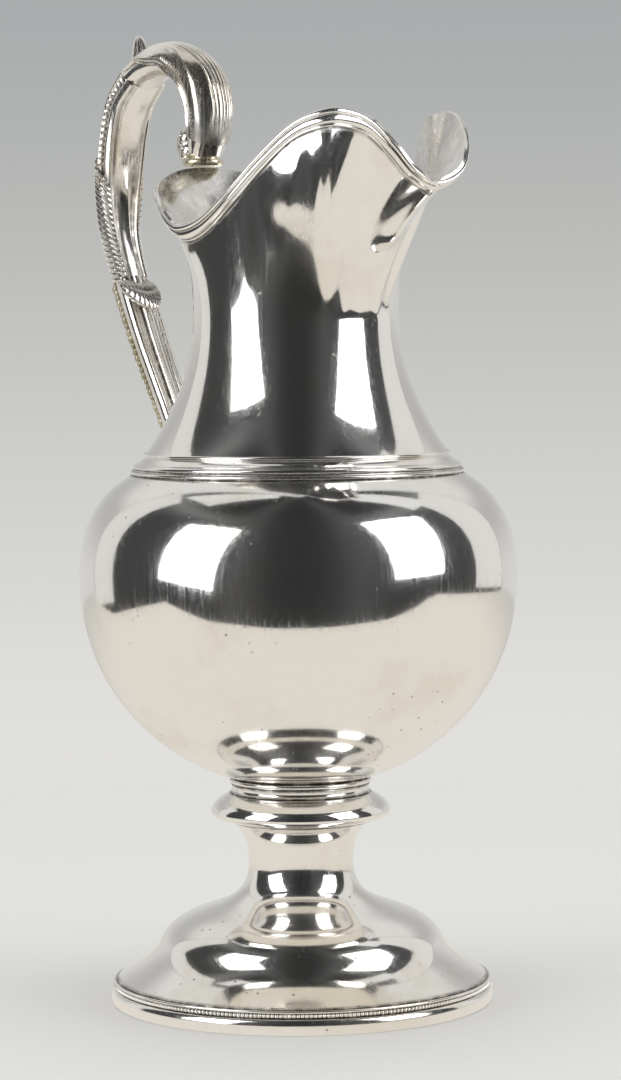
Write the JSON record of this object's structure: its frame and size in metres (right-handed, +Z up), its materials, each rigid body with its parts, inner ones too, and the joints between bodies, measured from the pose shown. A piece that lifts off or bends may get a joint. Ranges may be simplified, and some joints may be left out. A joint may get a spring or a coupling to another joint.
{
  "type": "water pitcher",
  "caption": "Silver water pitcher: round-bellied body on a beaded pedestal foot, wavy moulded rim with a wide pouring lip, and a cast leaf-scroll handle.",
  "frame": {"origin": "centre of the ring on the foot's underside that rests on the table", "axes": "+Z up along the body's axis, +X towards the pouring lip, handle towards -X, symmetric about the XZ plane"},
  "size_m": [0.1792, 0.1444, 0.3238],
  "materials": {
    "silver_sheet": "polished",
    "silver_wire": "polished",
    "silver_cast": "polished"
  },
  "bodies": {
    "root": {"base_moulding": "silver_wire", "beaded_wire": "silver_wire", "fillet_wire": "silver_wire", "pedestal": "silver_sheet", "knop_disc": "silver_wire", "knop_collar": "silver_wire", "bowl_ring": "silver_wire", "bowl": "silver_sheet", "shoulder_lower_wire": "silver_wire", "shoulder_middle_wire": "silver_wire", "shoulder_step": "silver_sheet", "shoulder_upper_wire": "silver_wire", "neck": "silver_sheet", "rim_bead": "silver_wire", "rim_band": "silver_wire", "rim_fillet": "silver_wire", "handle_collar": "silver_cast", "handle_hook": "silver_cast", "hook_leaf": "silver_cast", "scroll_bud": "silver_cast", "thumb_spur": "silver_cast", "handle_arm": "silver_cast", "arm_leaf": "silver_cast", "curled_leaf": "silver_cast", "handle_stem": "silver_cast", "stem_flutes": "silver_cast", "stem_leaf": "silver_cast", "handle_seat": "silver_cast"}
  },
  "joints": []
}
